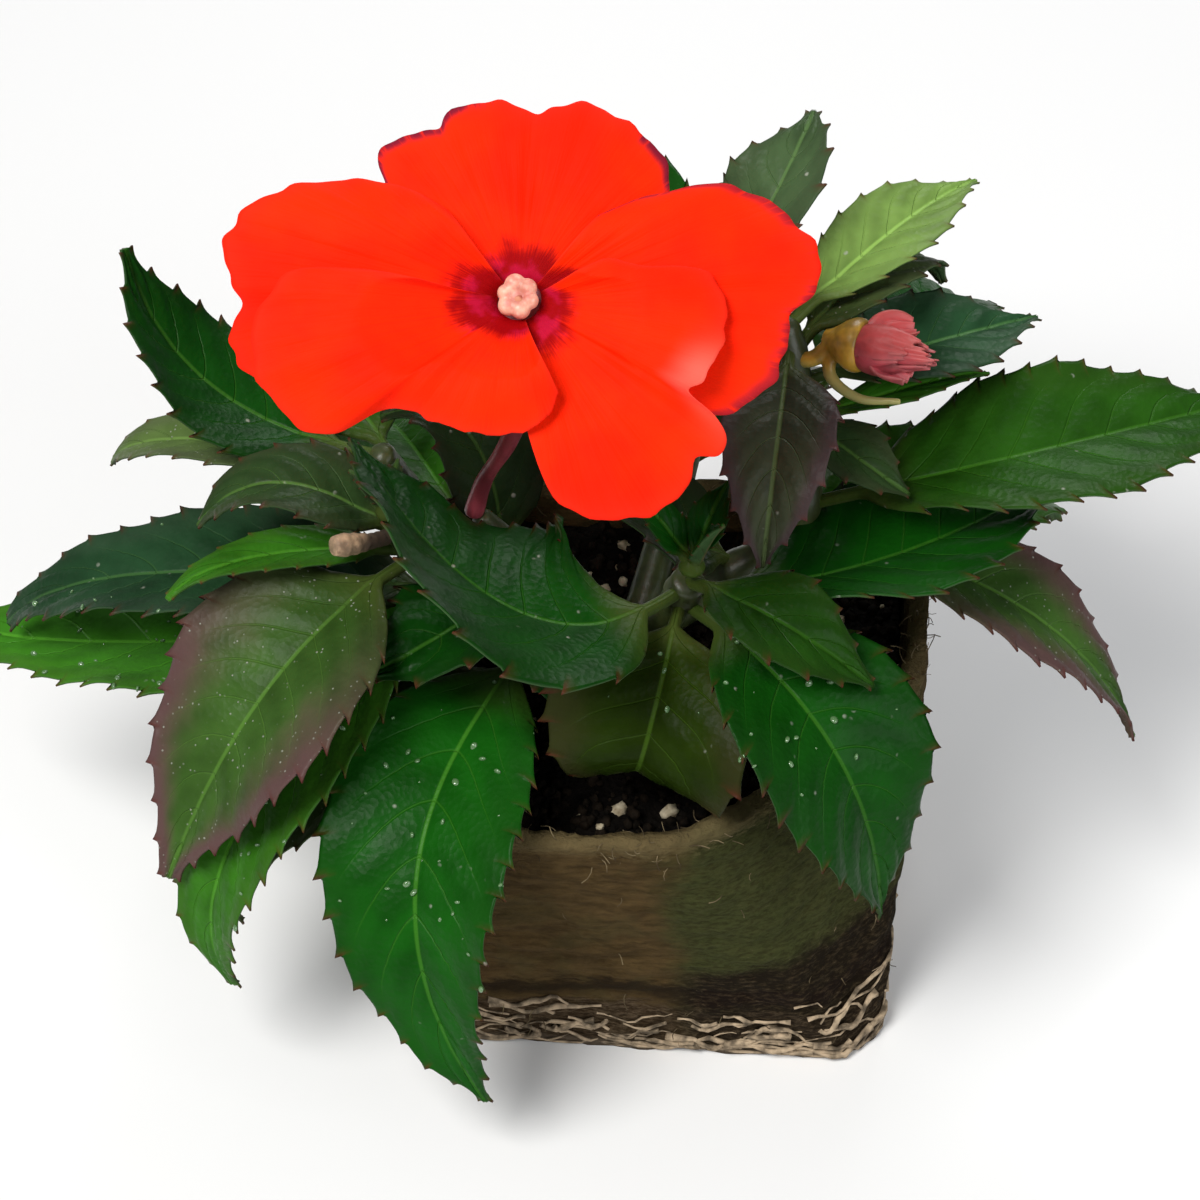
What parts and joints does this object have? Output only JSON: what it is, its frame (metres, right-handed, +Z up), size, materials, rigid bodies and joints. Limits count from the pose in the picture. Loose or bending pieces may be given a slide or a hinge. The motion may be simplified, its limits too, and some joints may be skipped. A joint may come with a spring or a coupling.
{
  "type": "potted new guinea impatiens",
  "caption": "Young new guinea impatiens with toothed leaves, an open orange-red flower and a bud, in a square pressed-fibre pot.",
  "frame": {"origin": "centre of the pot's underside", "axes": "+Z up, -Y towards the front of the plant, where the flower faces; +X to the right seen from the front"},
  "size_m": [0.1958, 0.1292, 0.1447],
  "materials": {
    "fibre": "rough pressed fibre, damp",
    "soil": "dark damp potting mix",
    "stem": "fleshy, satin",
    "leaf_green": "satin leaf, waxy",
    "leaf_light": "satin leaf, waxy",
    "leaf_dark": "satin leaf, waxy",
    "leaf_bronze": "satin leaf, purple-bronze",
    "leaf_grey": "satin leaf, dull underside",
    "petal": "soft velvety petal",
    "column": "soft",
    "flower_stalk": "fleshy, satin",
    "bud_petal": "soft furled petal",
    "calyx": "fleshy, satin",
    "spent": "dry stub"
  },
  "bodies": {
    "root": {"pot": "fibre", "soil": "soil", "stem": "stem", "leaf_front_left": "leaf_green", "leaf_front_down": "leaf_green", "leaf_front_right": "leaf_green", "leaf_front_small": "leaf_light", "leaf_front_east": "leaf_green", "leaf_west_dark": "leaf_dark", "leaf_west_long": "leaf_dark", "leaf_west_young": "leaf_light", "leaf_west_low": "leaf_light", "leaf_west_bronze": "leaf_bronze", "leaf_west_high": "leaf_dark", "leaf_west_pale": "leaf_grey", "leaf_south_west": "leaf_light", "leaf_west_under": "leaf_grey", "leaf_south": "leaf_green", "leaf_middle_low": "leaf_dark", "leaf_middle_wide": "leaf_dark", "leaf_middle_back": "leaf_dark", "leaf_under_bloom": "leaf_dark", "leaf_east_long": "leaf_light", "leaf_east_low": "leaf_bronze", "leaf_east_hang": "leaf_bronze", "leaf_east_back": "leaf_dark", "leaf_east_grey": "leaf_grey", "leaf_east_stub": "leaf_dark", "leaf_east_young": "leaf_light", "leaf_back_pale": "leaf_light", "leaf_back_high": "leaf_green", "leaf_north_west": "leaf_green", "leaf_north_west_low": "leaf_light", "leaf_north": "leaf_green", "leaf_north_low": "leaf_dark", "leaf_north_east": "leaf_green", "leaf_north_east_low": "leaf_light", "leaf_crown_north": "leaf_green", "tuft_front": "leaf_green", "tuft_west": "leaf_dark", "tuft_east": "leaf_bronze", "petal_top": "petal", "petal_upper_left": "petal", "petal_lower_left": "petal", "petal_upper_right": "petal", "petal_lower_right": "petal", "bloom_column": "column", "bloom_stalk": "flower_stalk", "bud_petals": "bud_petal", "bud_calyx": "calyx", "spent_stalk": "spent"}
  },
  "joints": []
}
